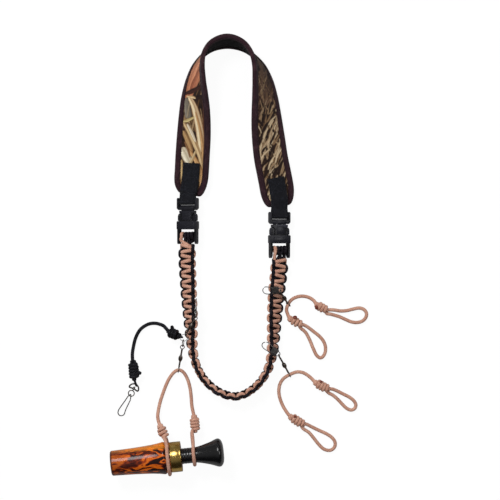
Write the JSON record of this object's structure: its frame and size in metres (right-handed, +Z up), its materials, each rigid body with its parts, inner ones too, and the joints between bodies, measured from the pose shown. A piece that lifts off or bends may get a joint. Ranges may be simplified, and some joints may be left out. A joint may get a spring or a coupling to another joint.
{
  "type": "duck call on neck lanyard",
  "caption": "Reed duck call hung from a padded neck lanyard with release buckles, a woven cord section, swivel clips and spare noose drops.",
  "frame": {"origin": "on the table under the middle of the flat layout", "axes": "+X across the lanyard, +Y along it towards the neck strap, +Z up from the table"},
  "size_m": [0.2965, 0.5048, 0.0428],
  "materials": {
    "pad_foam": "closed cell foam",
    "printed_face": "woven, printed with dry reeds and leaves",
    "lining": "knitted mesh",
    "binding": "woven tape",
    "webbing": "woven",
    "buckle_black": "satin moulded",
    "tan_cord": "braided sheath",
    "black_cord": "braided sheath",
    "dark_wire": "blackened wire",
    "bright_wire": "bright wire",
    "swivel_black": "blackened brass",
    "amber_resin": "polished, with dark streaks",
    "brass": "polished",
    "insert_black": "polished",
    "cork": "natural",
    "reed_film": "clear polyester film",
    "seal_rubber": "matt"
  },
  "bodies": {
    "neck_strap": {"neck_pad_foam": "pad_foam", "neck_pad_face": "printed_face", "neck_pad_lining": "lining", "neck_pad_binding": "binding", "left_web_tab": "webbing", "right_web_tab": "webbing", "left_buckle_male": "buckle_black", "right_buckle_male": "buckle_black"},
    "left_outer_latch": {"left_latch_outer": "buckle_black"},
    "left_inner_latch": {"left_latch_inner": "buckle_black"},
    "right_outer_latch": {"right_latch_outer": "buckle_black"},
    "right_inner_latch": {"right_latch_inner": "buckle_black"},
    "braid": {"braid_core_cords": "black_cord", "braid_tan_cord": "tan_cord", "braid_black_cord": "black_cord", "left_buckle_female": "buckle_black", "right_buckle_female": "buckle_black", "left_snap_wire": "bright_wire", "left_snap_clasp": "dark_wire", "upper_snap_wire": "dark_wire", "upper_snap_clasp": "dark_wire", "lower_snap_wire": "dark_wire", "lower_snap_clasp": "dark_wire"},
    "left_gate": {"left_snap_gate": "bright_wire"},
    "upper_gate": {"upper_snap_gate": "dark_wire"},
    "lower_gate": {"lower_snap_gate": "dark_wire"},
    "left_clip_eye": {"left_swivel_upper_eye": "swivel_black"},
    "left_barrel": {"left_swivel_barrel": "swivel_black"},
    "left_ring": {"left_swivel_lower_eye": "swivel_black", "split_ring": "bright_wire"},
    "tether": {"tether_cord": "black_cord", "tether_knots": "black_cord", "hook_d_ring": "dark_wire"},
    "hook_eye": {"hook_swivel_eye": "swivel_black"},
    "hook": {"hook_wire": "bright_wire"},
    "hook_catch": {"hook_gate": "bright_wire"},
    "call_link": {"call_chain_link": "bright_wire"},
    "call_eye": {"call_swivel_upper_eye": "swivel_black"},
    "call_swivel": {"call_swivel_barrel": "swivel_black"},
    "call_hanger": {"call_swivel_lower_eye": "swivel_black"},
    "call_drop": {"call_drop_cord": "tan_cord", "call_drop_knots": "tan_cord"},
    "call_body": {"call_barrel": "amber_resin", "call_band": "brass"},
    "call_stopper": {"call_insert": "insert_black", "call_wedge": "cork", "call_o_rings": "seal_rubber"},
    "long_reed": {"call_reed_long": "reed_film"},
    "short_reed": {"call_reed_short": "reed_film"},
    "upper_eye": {"upper_swivel_top_eye": "swivel_black"},
    "upper_barrel": {"upper_swivel_barrel": "swivel_black"},
    "upper_hanger": {"upper_swivel_low_eye": "swivel_black"},
    "upper_drop": {"upper_drop_cord": "tan_cord", "upper_drop_knots": "tan_cord"},
    "lower_eye": {"lower_swivel_top_eye": "swivel_black"},
    "lower_barrel": {"lower_swivel_barrel": "swivel_black"},
    "lower_hanger": {"lower_swivel_low_eye": "swivel_black"},
    "lower_drop": {"lower_drop_cord": "tan_cord", "lower_drop_knots": "tan_cord"}
  },
  "joints": [
    {"name": "buckle_release", "type": "slide", "parent": "neck_strap", "child": "braid", "axis": [0, -1, 0], "range_m": [0, 0.03], "deforming": ["left_latch_outer", "left_latch_inner", "right_latch_outer", "right_latch_inner"]},
    {"name": "left_inner_latch_press", "type": "hinge", "parent": "neck_strap", "child": "left_inner_latch", "pos_m": [-0.05434, 0.05214, 0.01308], "axis": [0.4067, 0, -0.9135], "range_deg": [0, 9], "stiffness_Nm_per_rad": 0.02},
    {"name": "left_outer_latch_press", "type": "hinge", "parent": "neck_strap", "child": "left_outer_latch", "pos_m": [-0.06457, 0.05214, 0.00852], "axis": [-0.4067, 0, 0.9135], "range_deg": [0, 9], "stiffness_Nm_per_rad": 0.02},
    {"name": "right_outer_latch_press", "type": "hinge", "parent": "neck_strap", "child": "right_outer_latch", "pos_m": [0.05085, 0.03605, 0.0087], "axis": [-0.3746, 0, -0.9272], "range_deg": [0, 9], "stiffness_Nm_per_rad": 0.02},
    {"name": "right_inner_latch_press", "type": "hinge", "parent": "neck_strap", "child": "right_inner_latch", "pos_m": [0.04046, 0.03605, 0.0129], "axis": [0.3746, 0, 0.9272], "range_deg": [0, 9], "stiffness_Nm_per_rad": 0.02},
    {"name": "left_gate_open", "type": "hinge", "parent": "braid", "child": "left_gate", "pos_m": [-0.05003, -0.06105, 0.02276], "axis": [-0.9997, 0.0227, -0.0103], "range_deg": [0, 16], "stiffness_Nm_per_rad": 0.005},
    {"name": "upper_gate_open", "type": "hinge", "parent": "braid", "child": "upper_gate", "pos_m": [0.0383, -0.03728, 0.0201], "axis": [-0.4468, -0.3323, 0.8307], "range_deg": [0, 16], "stiffness_Nm_per_rad": 0.005},
    {"name": "lower_gate_open", "type": "hinge", "parent": "braid", "child": "lower_gate", "pos_m": [0.03945, -0.1063, 0.02202], "axis": [-0.1656, -0.2864, 0.9437], "range_deg": [0, 16], "stiffness_Nm_per_rad": 0.005},
    {"name": "left_clip_swing", "type": "hinge", "parent": "braid", "child": "left_clip_eye", "pos_m": [-0.05026, -0.07124, 0.02236], "axis": [-0.0171, -0.322, 0.9466], "range_deg": [-18, 0]},
    {"name": "left_barrel_spin", "type": "hinge", "parent": "left_clip_eye", "child": "left_barrel", "pos_m": [-0.05026, -0.07124, 0.02236], "axis": [-0.49, -0.8442, -0.2171], "continuous": true},
    {"name": "left_swivel_turn", "type": "hinge", "parent": "left_clip_eye", "child": "left_ring", "pos_m": [-0.05026, -0.07124, 0.02236], "axis": [-0.49, -0.8442, -0.2171], "range_deg": [-10, 20]},
    {"name": "tether_swing", "type": "hinge", "parent": "left_ring", "child": "tether", "pos_m": [-0.0676, -0.09331, 0.01752], "axis": [0, 0, 1], "range_deg": [-25, 10]},
    {"name": "hook_eye_spin", "type": "hinge", "parent": "tether", "child": "hook_eye", "pos_m": [-0.12213, -0.15376, 0.003], "axis": [-0.4555, -0.8897, -0.0324], "continuous": true},
    {"name": "hook_swing", "type": "hinge", "parent": "hook_eye", "child": "hook", "pos_m": [-0.12559, -0.16052, 0.00275], "axis": [-0.0148, -0.0289, 0.9995], "range_deg": [-20, 20]},
    {"name": "hook_gate_open", "type": "hinge", "parent": "hook", "child": "hook_catch", "pos_m": [-0.12627, -0.16755, 0.00184], "axis": [-0.0148, -0.0289, 0.9995], "range_deg": [-14, 0], "stiffness_Nm_per_rad": 0.005},
    {"name": "chain_link_swing", "type": "hinge", "parent": "left_ring", "child": "call_link", "pos_m": [-0.06441, -0.09835, 0.0151], "axis": [0.1704, -0.337, 0.926], "range_deg": [-12, 12]},
    {"name": "call_swing", "type": "hinge", "parent": "call_link", "child": "call_eye", "pos_m": [-0.06551, -0.10457, 0.01303], "axis": [0.9714, -0.1004, -0.2153], "range_deg": [-20, 2]},
    {"name": "call_barrel_spin", "type": "hinge", "parent": "call_eye", "child": "call_swivel", "pos_m": [-0.07038, -0.13214, 0.0039], "axis": [-0.1655, -0.9361, -0.3102], "continuous": true},
    {"name": "call_swivel_turn", "type": "hinge", "parent": "call_eye", "child": "call_hanger", "pos_m": [-0.07038, -0.13214, 0.0039], "axis": [-0.1655, -0.9361, -0.3102], "range_deg": [-20, 20]},
    {"name": "call_drop_swing", "type": "hinge", "parent": "call_hanger", "child": "call_drop", "pos_m": [-0.07038, -0.13214, 0.0039], "axis": [1, 0, 0], "range_deg": [-15, 0]},
    {"name": "call_roll", "type": "hinge", "parent": "call_drop", "child": "call_body", "pos_m": [-0.14697, -0.23794, 0.0214], "axis": [0.9949, 0.1011, 0], "continuous": true},
    {"name": "insert_pull", "type": "slide", "parent": "call_body", "child": "call_stopper", "axis": [0.9949, 0.1011, 0], "range_m": [0, 0.05]},
    {"name": "long_reed_flex", "type": "hinge", "parent": "call_stopper", "child": "long_reed", "pos_m": [-0.09225, -0.23238, 0.0214], "axis": [-0.1011, 0.9949, 0], "range_deg": [-0.6, 0.5], "stiffness_Nm_per_rad": 0.001},
    {"name": "short_reed_flex", "type": "hinge", "parent": "call_stopper", "child": "short_reed", "pos_m": [-0.09225, -0.23238, 0.0214], "axis": [-0.1011, 0.9949, 0], "range_deg": [-0.6, 0.5], "stiffness_Nm_per_rad": 0.001},
    {"name": "upper_clip_swing", "type": "hinge", "parent": "braid", "child": "upper_eye", "pos_m": [0.04691, -0.04184, 0.0229], "axis": [0.5484, 0.6319, 0.5477], "range_deg": [-25, 6]},
    {"name": "upper_barrel_spin", "type": "hinge", "parent": "upper_eye", "child": "upper_barrel", "pos_m": [0.056, -0.0567, 0.0039], "axis": [0.353, -0.5762, -0.7371], "continuous": true},
    {"name": "upper_swivel_turn", "type": "hinge", "parent": "upper_eye", "child": "upper_hanger", "pos_m": [0.056, -0.0567, 0.0039], "axis": [0.353, -0.5762, -0.7371], "range_deg": [-30, 30]},
    {"name": "upper_drop_swing", "type": "hinge", "parent": "upper_hanger", "child": "upper_drop", "pos_m": [0.056, -0.0567, 0.0039], "axis": [-0.614, -0.7371, 0.2822], "range_deg": [-4, 25]},
    {"name": "lower_clip_swing", "type": "hinge", "parent": "braid", "child": "lower_eye", "pos_m": [0.04509, -0.11489, 0.0204], "axis": [0.8285, 0.4786, 0.2906], "range_deg": [-25, 6]},
    {"name": "lower_barrel_spin", "type": "hinge", "parent": "lower_eye", "child": "lower_barrel", "pos_m": [0.0575, -0.13765, 0.0039], "axis": [0.4037, -0.7408, -0.5369], "continuous": true},
    {"name": "lower_swivel_turn", "type": "hinge", "parent": "lower_eye", "child": "lower_hanger", "pos_m": [0.0575, -0.13765, 0.0039], "axis": [0.4037, -0.7408, -0.5369], "range_deg": [-30, 30]},
    {"name": "lower_drop_swing", "type": "hinge", "parent": "lower_hanger", "child": "lower_drop", "pos_m": [0.0575, -0.13765, 0.0039], "axis": [-0.8874, -0.4598, -0.0328], "range_deg": [-4, 25]}
  ],
  "couplings": [
    {"joint": "left_outer_latch_press", "follows": "left_inner_latch_press", "ratio": 1},
    {"joint": "right_inner_latch_press", "follows": "right_outer_latch_press", "ratio": 1},
    {"joint": "short_reed_flex", "follows": "long_reed_flex", "ratio": 1}
  ]
}
